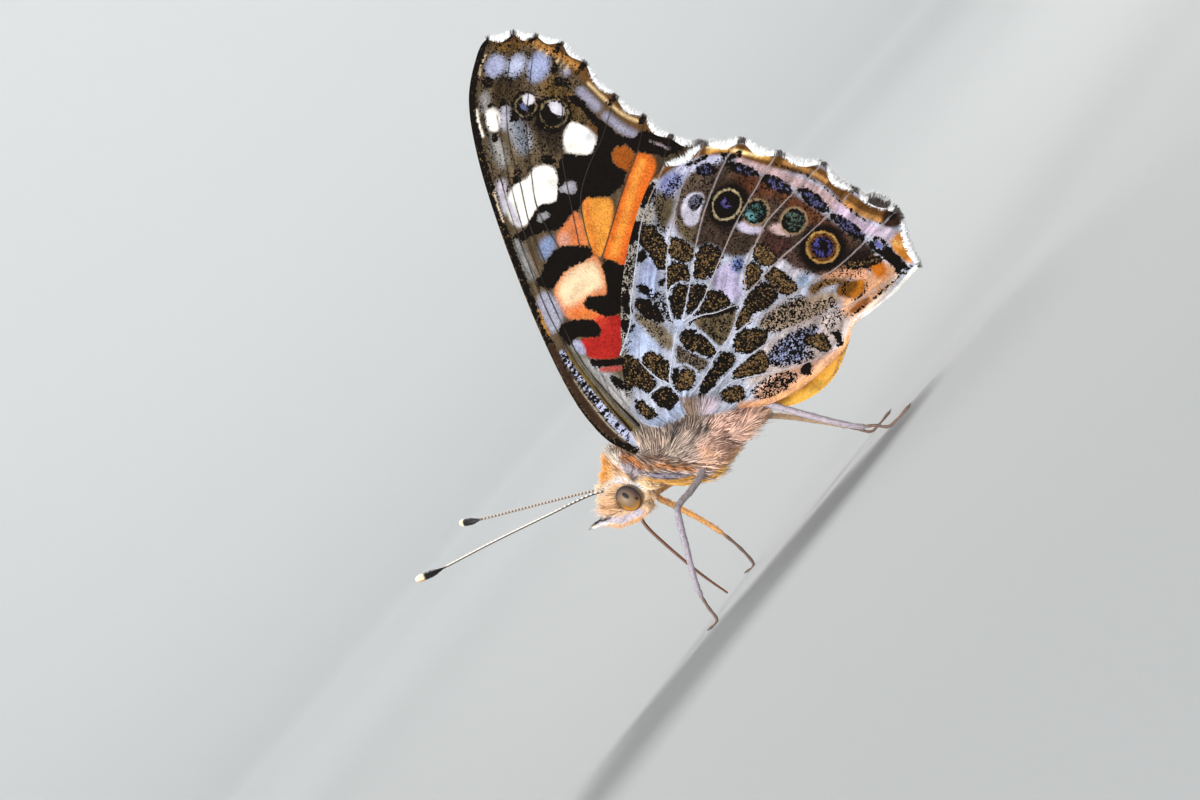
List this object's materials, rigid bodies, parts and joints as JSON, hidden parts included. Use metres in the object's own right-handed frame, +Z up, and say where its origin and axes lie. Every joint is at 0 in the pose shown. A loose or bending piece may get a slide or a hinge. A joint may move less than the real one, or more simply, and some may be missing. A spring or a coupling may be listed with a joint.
{
  "type": "painted lady butterfly model",
  "caption": "Still life-size butterfly, feeding with its wings closed over its back, standing on four legs.",
  "frame": {"origin": "on the floor below the middle of the insect's whole extent, feelers and wings included", "axes": "+Z up, -X towards the head, -Y towards the insect's left side"},
  "size_m": [0.0417, 0.0166, 0.0395],
  "materials": {
    "head_coat": "short cream and tawny hair",
    "body_coat": "soft grey-brown hair",
    "eye": "glossy facetted cornea",
    "antenna": "dark, ringed with pale scales",
    "proboscis": "dark amber, satin",
    "forewing_scales": "matte powdery scales",
    "hindwing_scales": "matte powdery scales",
    "leg_scales": "fine lilac-grey scales"
  },
  "bodies": {
    "root": {"head": "head_coat", "eye_left": "eye", "eye_right": "eye", "palp_left": "head_coat", "palp_right": "head_coat", "antenna_left": "antenna", "antenna_right": "antenna", "proboscis": "proboscis", "thorax": "body_coat", "abdomen": "body_coat", "forewing_left": "forewing_scales", "forewing_right": "forewing_scales", "hindwing_left": "hindwing_scales", "hindwing_right": "hindwing_scales", "foreleg_left": "leg_scales", "foreleg_right": "leg_scales", "midleg_left": "leg_scales", "midleg_right": "leg_scales", "hindleg_left": "leg_scales", "hindleg_right": "leg_scales"}
  },
  "joints": []
}
